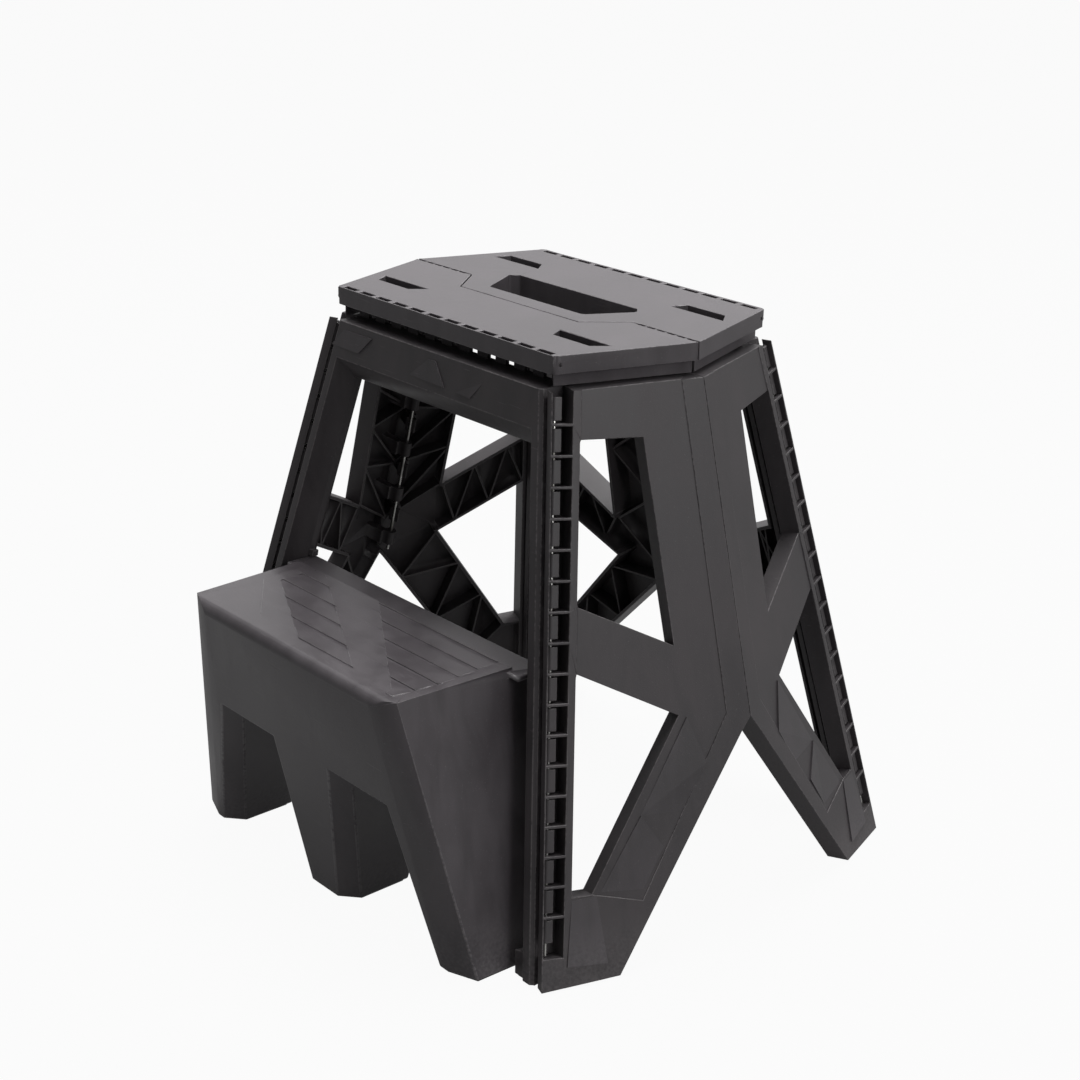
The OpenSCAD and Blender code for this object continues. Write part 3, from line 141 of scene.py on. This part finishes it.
def moulded_plastic(name, dark, light, worn, roughness=0.5):
    """Through-coloured plastic with flow clouds, spark grain, rubbed edges and dusty feet."""
    finish = Finish(bpy.data.materials.new(name))
    place = finish.add("TexCoord", output="Object")

    # Patterns: clouds, flow lines that run upwards, specks, spark grain and long scratches
    cloud = finish.noise(place, scale=11.0, detail=4.0)
    flow_place = finish.add("Mapping", sockets={"Vector": place, "Scale": (1.0, 1.0, 0.22)})
    flow = finish.noise(flow_place, scale=70.0, detail=3.0, distortion=0.6)
    speck = finish.noise(place, scale=420.0)
    spark = finish.noise(place, scale=1500.0)
    scratch_place = finish.add("Mapping", sockets={
        "Vector": place, "Rotation": (0.4, 0.9, 0.3), "Scale": (0.05, 1.0, 1.0)})
    scratch_noise = finish.noise(scratch_place, scale=900.0, detail=1.0)
    scratch = finish.step(scratch_noise, start=0.70, end=0.76)

    # Wear: dust on the lowest 50 mm, and broken edges that hands and feet have rubbed
    dust_top = 50 * MM
    height = finish.add("SeparateXYZ", sockets={"Vector": place}, output="Z")
    low_down = 1 - finish.step(height, start=0.0, end=dust_top)
    dust = low_down * finish.step(cloud + speck * 0.4, start=0.55, end=0.85)
    edge = finish.add("Attribute", {"attribute_name": "broken_edge"}, output="Fac")
    rubbed = edge * finish.step(speck + cloud, start=0.75, end=1.15)

    tone = finish.step(cloud * 0.6 + flow * 0.4, start=0.36, end=0.64)
    speck_share, rubbed_share, scratch_share, dust_share = 0.25, 0.45, 0.18, 0.35
    colour = finish.mix(tone, dark, light)
    colour = finish.mix(finish.step(speck, start=0.60, end=0.72) * speck_share, colour, light)
    colour = finish.mix(rubbed * rubbed_share + scratch * scratch_share, colour, worn)
    colour = finish.mix(dust * dust_share, colour, worn)

    grain = finish.bump(spark + speck * 0.35 - scratch * 0.4, strength=0.35, depth=0.2 * MM)
    rough = roughness + (tone - 0.5) * 0.10 + dust * 0.14 - edge * 0.06 + scratch * 0.05
    return finish.set(Base_Color=colour, Roughness=rough, Normal=grain, Specular_IOR_Level=0.4)


def lay_out(name, mesh, material):
    """An object at the origin, of one material, for a mesh that lies in its place."""
    piece = bpy.data.objects.new(name, mesh)
    bpy.context.scene.collection.objects.link(piece)
    mesh.materials.clear()
    mesh.materials.append(material)
    return piece


def settle(piece):
    """Turns what the modifiers make into the piece's own mesh."""
    bpy.context.view_layer.update()
    evaluated = piece.evaluated_get(bpy.context.evaluated_depsgraph_get())
    mesh = bpy.data.meshes.new_from_object(evaluated)
    piece.modifiers.clear()
    piece.data = mesh


def mount(piece, body):
    """A finished piece rides on a CAD body."""
    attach(piece, body)


LOWEST, HIGHEST = -1.0, 2.0    # metres, well below the floor and well above the stool


def moulding(node, body, material, bands=((0.5 * MM, LOWEST, HIGHEST),)):
    """A CAD moulding with its sharp edges broken, as they leave the mould. Each band is a radius
    and the two heights between which an edge of that radius has its lower end."""
    weld = 0.004 * MM
    flat_turn, sharp_turn, crease_turn = math.radians(0.6), math.radians(24), math.radians(48)
    least_radii = 5    # an edge with less length than this many radii stays as it is
    shape = bmesh.new()
    shape.from_mesh(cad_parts[node].data)
    bmesh.ops.remove_doubles(shape, verts=shape.verts, dist=weld)
    bmesh.ops.join_triangles(shape, faces=shape.faces, angle_face_threshold=flat_turn,
                             angle_shape_threshold=math.pi)
    broken = shape.faces.layers.float.new("broken_edge")
    for radius, low, high in bands:
        sharp = [edge for edge in shape.edges if edge.is_manifold
                 and edge.calc_length() > least_radii * radius
                 and edge.calc_face_angle_signed(0.0) > sharp_turn
                 and low <= min(end.co.z for end in edge.verts) < high]
        made = bmesh.ops.bevel(shape, geom=sharp, offset=radius, segments=2, profile=0.5,
                               affect="EDGES", clamp_overlap=False, loop_slide=False,
                               offset_type="OFFSET")
        for face in made["faces"]:
            face[broken] = 1.0
    for face in shape.faces:
        face.smooth = True
    mesh = bpy.data.meshes.new(node + "_moulding")
    shape.to_mesh(mesh)
    shape.free()
    mesh.set_sharp_from_angle(angle=crease_turn)
    piece = lay_out(node + "_moulding", mesh, material)
    weighted = piece.modifiers.new("even_faces", "WEIGHTED_NORMAL")
    weighted.keep_sharp = True
    settle(piece)
    mount(piece, body)
    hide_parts(node)


CHARCOAL = moulded_plastic("frame_plastic", shade(50, 47, 49), shade(62, 58, 60),
                           shade(118, 114, 115))
moulding("front_frame", "front_frame", CHARCOAL)

# The facets' colour is painted a little lighter than the skin that they stand on: painted light,
# for the light that their tilt would catch
FACET_PAINTED_LIGHTER = moulded_plastic("facet_plastic_painted_lighter", shade(55, 52, 54), shade(68, 64, 67),
                        shade(120, 116, 118), roughness=0.44)
FACET_ROOT = 0.3    # millimetres that a facet is sunk into the skin


def raised_facet(name, body, place, corners, seat_level):
    """A shallow tilted facet. Each corner is (across, up, rise above the face at seat_level),
    in millimetres on that face."""
    shape = bmesh.new()
    top = [shape.verts.new(place(across * MM, up * MM, (seat_level + rise) * MM))
           for across, up, rise in corners]
    root = [shape.verts.new(place(across * MM, up * MM, (seat_level - FACET_ROOT) * MM))
            for across, up, rise in corners]
    shape.faces.new(top)
    shape.faces.new(root[::-1])
    for i in range(len(top)):
        j = (i + 1) % len(top)
        shape.faces.new((top[i], root[i], root[j], top[j]))
    bmesh.ops.triangulate(shape, faces=shape.faces)
    bmesh.ops.recalc_face_normals(shape, faces=shape.faces)
    mesh = bpy.data.meshes.new(name)
    shape.to_mesh(mesh)
    shape.free()
    mount(lay_out(name, mesh, FACET_PAINTED_LIGHTER), body)


# All four side faces lean in towards one apex. The step in front moves the CAD box's middle
# off the stool's own.
CORNER_HALF_LENGTH, CORNER_HALF_DEPTH, APEX_HEIGHT = 197 * MM, 170.5 * MM, 950 * MM
STEP_SHIFT = 30.657 * MM
CENTRE_Y = cad_box[0][1] / 2 + cad_box[1][1] / 2 + STEP_SHIFT
apex = Vector((0, CENTRE_Y, APEX_HEIGHT))
front_foot = Vector((0, CENTRE_Y - CORNER_HALF_DEPTH, 0))
front_across = Vector((1, 0, 0))
front_up = (apex - front_foot).normalized()
front_out = front_across.cross(front_up)


def on_front(across, up, out):
    return front_foot + front_across * across + front_up * up + front_out * out


FRONT_FACETS = {
    "left": [(-112, 365.2, 0.02), (-80, 365.2, 0.7), (-67.2, 378.1, 0.9), (-100, 378.1, 0.02)],
    "middle": [(-22.4, 363.4, 0.05), (15.6, 363.1, 0.9), (3.3, 378.4, 0.9), (-4.5, 377.9, 0.6)],
    "right": [(28.2, 362.9, 0.8), (42.8, 362.0, 0.6), (53.1, 375.0, 0.05)],
}
for name, corners in FRONT_FACETS.items():
    raised_facet("front_frame_facet_" + name, "front_frame", on_front, corners, 0)


# Inside the front frame the ejector pins leave round marks, a quarter of a millimetre high, where
# they pushed the warm moulding out. They are part of the skin, in one row along the top bar.
class MarkTree:
    """Geometry Nodes that set a low round disc on each point, facing one way."""

    INPUTS = {"Facing": "NodeSocketVector", "Radius": "NodeSocketFloat",
              "Height": "NodeSocketFloat", "Finish": "NodeSocketMaterial"}
    SIDES = 20

    def __init__(self):
        self.tree = bpy.data.node_groups.new("ejector_marks", "GeometryNodeTree")
        face = self.tree.interface
        face.new_socket("Places", in_out="INPUT", socket_type="NodeSocketGeometry")
        self.names = {name: face.new_socket(name, in_out="INPUT", socket_type=kind).identifier
                      for name, kind in self.INPUTS.items()}
        face.new_socket("Marks", in_out="OUTPUT", socket_type="NodeSocketGeometry")
        given = self.add("NodeGroupInput")
        disc = self.add("GeometryNodeMeshCylinder", {
            "Vertices": self.SIDES, "Radius": given["Radius"], "Depth": given["Height"]})
        turn = self.add("FunctionNodeAlignRotationToVector", {"Vector": given["Facing"]})
        marks = self.add("GeometryNodeInstanceOnPoints", {
            "Points": given["Places"], "Instance": disc["Mesh"], "Rotation": turn["Rotation"]})
        real = self.add("GeometryNodeRealizeInstances", {"Geometry": marks["Instances"]})
        finished = self.add("GeometryNodeSetMaterial", {
            "Geometry": real["Geometry"], "Material": given["Finish"]})
        self.add("NodeGroupOutput", {"Marks": finished["Geometry"]})

    def add(self, kind, sockets=None):
        node = self.tree.nodes.new(kind)
        for name, value in (sockets or {}).items():
            if isinstance(value, bpy.types.NodeSocket):
                self.tree.links.new(value, node.inputs[name])
            else:
                node.inputs[name].default_value = value
        return node.outputs


MARKS = MarkTree()
MARK_RADIUS, MARK_THICKNESS = 2.5 * MM, 0.5 * MM    # half of the thickness is sunk into the skin


def ejector_marks(name, body, places, facing):
    """Marks of one moulding, with their middles at the places on its skin."""
    points = bpy.data.meshes.new(name)
    points.from_pydata([tuple(place) for place in places], [], [])
    piece = lay_out(name, points, CHARCOAL)
    marks = piece.modifiers.new("marks", "NODES")
    marks.node_group = MARKS.tree
    values = {"Facing": tuple(facing), "Radius": MARK_RADIUS, "Height": MARK_THICKNESS,
              "Finish": CHARCOAL}
    for socket, value in values.items():
        marks[MARKS.names[socket]] = value
    settle(piece)
    mount(piece, body)


FRONT_INNER_SKIN, PIN_ROW_UP = -3.0 * MM, 371 * MM
PIN_ROW = range(-90, 91, 45)
ejector_marks("front_frame_pin_marks", "front_frame",
              [on_front(across * MM, PIN_ROW_UP, FRONT_INNER_SKIN) for across in PIN_ROW],
              front_out)


# The back frame: the same plastic, one moulding with a wide middle band and slanting struts,
# open on its inner side. Its skin stiffens on ribs, as the front frame's does.
moulding("back_frame", "back_frame", CHARCOAL)


# Four end panels hang on the frames' corner hinges and meet on the ridges, where the front ones
# carry the knuckles. Their diagonal legs and feet are moulded with flat facets that tilt up to a
# millimetre and a half out of the skin.
RIDGE_HALF_LENGTH = 253 * MM
SKIN_LEVEL, BORDER_LEVEL = -0.8, 0.0
END_INNER_SKIN = -3.8 * MM
PIN_PLACES = [(64, 84), (78, 112), (92, 140), (115, 205), (110, 250), (104, 295), (98, 340)]
PANELS = {"right_front": (1, -1), "right_back": (1, 1), "left_front": (-1, -1),
          "left_back": (-1, 1)}
PANEL_FACETS = {
    "upper": (SKIN_LEVEL, [(101.1, 178.2, 0.9), (69, 114, 0.05), (101.1, 115.2, 0.05),
                           (116.6, 146.8, 1.3)]),
    "lower": (SKIN_LEVEL, [(69, 114, 0.8), (41, 65, 0.05), (72.5, 64.5, 0.05), (86.1, 92, 1.1)]),
    "foot": (BORDER_LEVEL, [(20.1, 61.4, 0.05), (17.5, 17.5, 1.1), (46.5, 17.4, 1.5),
                            (37.8, 63.5, 0.45)]),
}


def panel_face(x_side, y_side):
    """A panel's outer face: a function from (across, up, out) to a point, and the way out."""
    corner = Vector((x_side * CORNER_HALF_LENGTH, CENTRE_Y + y_side * CORNER_HALF_DEPTH, 0))
    ridge = Vector((x_side * RIDGE_HALF_LENGTH, CENTRE_Y, 0))
    panel_up = (apex - corner).normalized()
    panel_out = panel_up.cross(ridge - corner).normalized()
    if panel_out.x * x_side < 0:
        panel_out = -panel_out
    panel_across = panel_up.cross(panel_out).normalized()
    if panel_across.dot(ridge - corner) < 0:
        panel_across = -panel_across

    def on_panel(across, up, out):
        return corner + panel_across * across + panel_up * up + panel_out * out

    return on_panel, panel_out


for side, (x_side, y_side) in PANELS.items():
    moulding("end_panel_" + side, "end_" + side, CHARCOAL)
    on_panel, panel_out = panel_face(x_side, y_side)
    ejector_marks(f"end_panel_{side}_pin_marks", "end_" + side,
                  [on_panel(across * MM, up * MM, END_INNER_SKIN) for across, up in PIN_PLACES],
                  panel_out)
    for name, (level, corners) in PANEL_FACETS.items():
        raised_facet(f"end_facet_{name}_{side}", "end_" + side, on_panel, corners, level)


# The seat halves: two slabs of the same plastic from a finer mould, so they leave it smoother and
# shine more. Their colour is painted lighter than the frames': painted light, for the light that
# falls on their tops. They hinge on each other at their tips and on the frames' rows of arms.
SEAT_PAINTED_LIGHTER = moulded_plastic("seat_plastic_painted_lighter", shade(70, 66, 69), shade(84, 80, 83), shade(132, 128, 131),
                       roughness=0.44)
moulding("seat_front", "seat_front", SEAT_PAINTED_LIGHTER)
moulding("seat_back", "seat_back", SEAT_PAINTED_LIGHTER)


# The step: a hollow wedge on three legs, moulded in one piece, with a saw-tooth tread, and hooked
# on the front frame. Its outer corners are rounded more than the frames' edges, since feet knock
# against them, and the tread's teeth less.
# The step's colour is painted lighter than the frames': painted light, for the light on its tread.
STEP_PAINTED_LIGHTER = moulded_plastic("step_plastic_painted_lighter", shade(62, 58, 61), shade(76, 72, 75), shade(128, 124, 126),
                       roughness=0.38)
TOOTH_BAND, TOOTH_RADIUS, CORNER_RADIUS = 1.5 * MM, 0.25 * MM, 1.2 * MM
tread_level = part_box("step")[1][2] - TOOTH_BAND
moulding("step", "step", STEP_PAINTED_LIGHTER,
         ((TOOTH_RADIUS, tread_level, HIGHEST), (CORNER_RADIUS, LOWEST, tread_level)))


# The hinge rods: drawn steel wire cut to length, its ends broken by the cutter. It is bright, with
# fine drawing lines along it, and dulls where the barrels turn on it.
def drawn_steel(name):
    finish = Finish(bpy.data.materials.new(name))
    place = finish.add("TexCoord", output="Object")
    cloud = finish.noise(place, scale=60.0, detail=3.0)
    line_place = finish.add("Mapping", sockets={"Vector": place, "Scale": (1, 1, 0.02)})
    lines = finish.noise(line_place, scale=2600.0)
    dull = finish.step(cloud, start=0.45, end=0.65)
    colour = finish.mix(dull, shade(176, 175, 172), shade(120, 118, 114))
    drawn = finish.bump(lines, strength=0.15, depth=0.1 * MM)
    return finish.set(Base_Color=colour, Metallic=1.0, Roughness=0.26 + dull * 0.2, Normal=drawn)


STEEL = drawn_steel("rod_steel")
ROD_END_RADIUS = 0.2 * MM
RODS = {"corner_rod_right_front": "front_frame", "corner_rod_left_front": "front_frame",
        "seat_edge_rod_front": "front_frame", "corner_rod_right_back": "back_frame",
        "corner_rod_left_back": "back_frame", "seat_edge_rod_back": "back_frame",
        "ridge_rod_right": "end_right_front", "ridge_rod_left": "end_left_front",
        "seat_centre_rods": "seat_front"}
for rod, body in RODS.items():
    moulding(rod, body, STEEL, ((ROD_END_RADIUS, LOWEST, HIGHEST),))


# The foot pads: soft black rubber, moulded separately and pressed into each foot. Their rims are
# scuffed grey where they meet the floor.
def soft_rubber(name):
    finish = Finish(bpy.data.materials.new(name))
    place = finish.add("TexCoord", output="Object")
    cloud = finish.noise(place, scale=35.0, detail=3.0)
    grain = finish.noise(place, scale=2200.0)
    scuff_top = 3 * MM
    height = finish.add("SeparateXYZ", sockets={"Vector": place}, output="Z")
    low_down = 1 - finish.step(height, start=0.0, end=scuff_top)
    scuff = low_down * finish.step(cloud, start=0.4, end=0.7)
    colour = finish.mix(cloud, shade(24, 24, 25), shade(36, 36, 37))
    colour = finish.mix(scuff * 0.6, colour, shade(92, 90, 88))
    skin = finish.bump(grain, strength=0.3, depth=0.2 * MM)
    return finish.set(Base_Color=colour, Roughness=0.72 + scuff * 0.15, Normal=skin)


RUBBER = soft_rubber("pad_rubber")
PAD_RADIUS = 0.3 * MM
PADS = {"front_frame_pads": "front_frame", "back_frame_pads": "back_frame", "step_pads": "step"}
PADS.update({side + "_pad": "end_" + side for side in PANELS})
for pad, body in PADS.items():
    moulding(pad, body, RUBBER, ((PAD_RADIUS, LOWEST, HIGHEST),))


# The studio: one broad lamp overhead and a weaker one from the right, both aimed at the stool's
# middle. The floor and sky are pale only to the camera and to what it sees in them or through
# them, so they add little light of their own.
def lamp(name, place, size, power):
    light = bpy.data.lights.new(name, "AREA")
    light.shape = "DISK"
    light.size = size
    light.energy = power
    stand = bpy.data.objects.new(name, light)
    bpy.context.scene.collection.objects.link(stand)
    stand.location = place
    aim = Vector((0.0, 0.0, 0.2)) - Vector(place)
    stand.rotation_euler = aim.to_track_quat("-Z", "Y").to_euler()


lamp("overhead", place=(-0.2, 0.35, 2.5), size=1.6, power=80.0)
lamp("side", place=(2.4, -0.1, 1.2), size=1.2, power=20.0)

WHITE = (1, 1, 1, 1)
FLOOR_SIZE = 60.0
floor_finish = Finish(bpy.data.materials.new("studio_floor"))
floor_finish.set(Base_Color=shade(128, 128, 128), Roughness=0.9)
floor_paint = Value(floor_finish, floor_finish.shader.outputs[0])
glow = floor_finish.add("Emission", sockets={"Color": WHITE, "Strength": 1.0})
seen_share, mirrored_share = 0.95, 0.25
glow_share = (floor_finish.add("LightPath", output="Is Camera Ray") * seen_share
              + floor_finish.add("LightPath", output="Is Glossy Ray") * mirrored_share
              + floor_finish.add("LightPath", output="Is Transmission Ray"))
shown = floor_finish.add("MixShader", sockets={0: glow_share, 1: floor_paint, 2: glow})
floor_finish.feed(floor_finish.tree.nodes["Material Output"].inputs["Surface"], shown)
bpy.ops.mesh.primitive_plane_add(size=FLOOR_SIZE)
floor = bpy.context.object
floor.name = "floor"
floor.data.materials.append(floor_finish.material)

# The sky lights the object evenly, but is brighter in reflections behind it than in front
EVEN_LEVEL, FRONT_LEVEL, BACK_RISE = 0.14, 0.35, 0.75
world = bpy.data.worlds.new("studio")
bpy.context.scene.world = world
sky = Finish(world, "Background")
direction = sky.add("TexCoord", output="Generated")
backwards = sky.add("SeparateXYZ", sockets={"Vector": direction}, output="Y")
mirrored = FRONT_LEVEL + sky.step(backwards, start=-0.6, end=0.5) * BACK_RISE
seen = (sky.add("LightPath", output="Is Camera Ray")
        + sky.add("LightPath", output="Is Transmission Ray"))
glossy = sky.add("LightPath", output="Is Glossy Ray")
sky.set(Color=WHITE, Strength=(1 - seen - glossy) * EVEN_LEVEL + seen + glossy * mirrored)

# The camera stands where the photograph was taken from
CAMERA_PLACE = (0.99495, -0.87300, 0.73849)
FOCAL_PIXELS, FRAME_PIXELS, SENSOR_WIDTH = 1962.79, 1080, 36.0
azimuth, elevation, roll = math.radians(47.84), math.radians(21.19), math.radians(1.29)
right = Vector((math.cos(azimuth), math.sin(azimuth), 0))
back = Vector((math.sin(azimuth) * math.cos(elevation), -math.cos(azimuth) * math.cos(elevation),
               math.sin(elevation)))
up = back.cross(right)
camera_x = right * math.cos(roll) + up * math.sin(roll)
camera_y = up * math.cos(roll) - right * math.sin(roll)
lens = bpy.data.cameras.new("photo_view")
lens.sensor_width = SENSOR_WIDTH
lens.lens = SENSOR_WIDTH * FOCAL_PIXELS / FRAME_PIXELS
lens.clip_start = 0.05
camera = bpy.data.objects.new("photo_view", lens)
bpy.context.scene.collection.objects.link(camera)
turned = Matrix((camera_x, camera_y, back)).transposed().to_4x4()
camera.matrix_world = Matrix.Translation(CAMERA_PLACE) @ turned
bpy.context.scene.camera = camera
bpy.context.scene.view_settings.view_transform = "Standard"
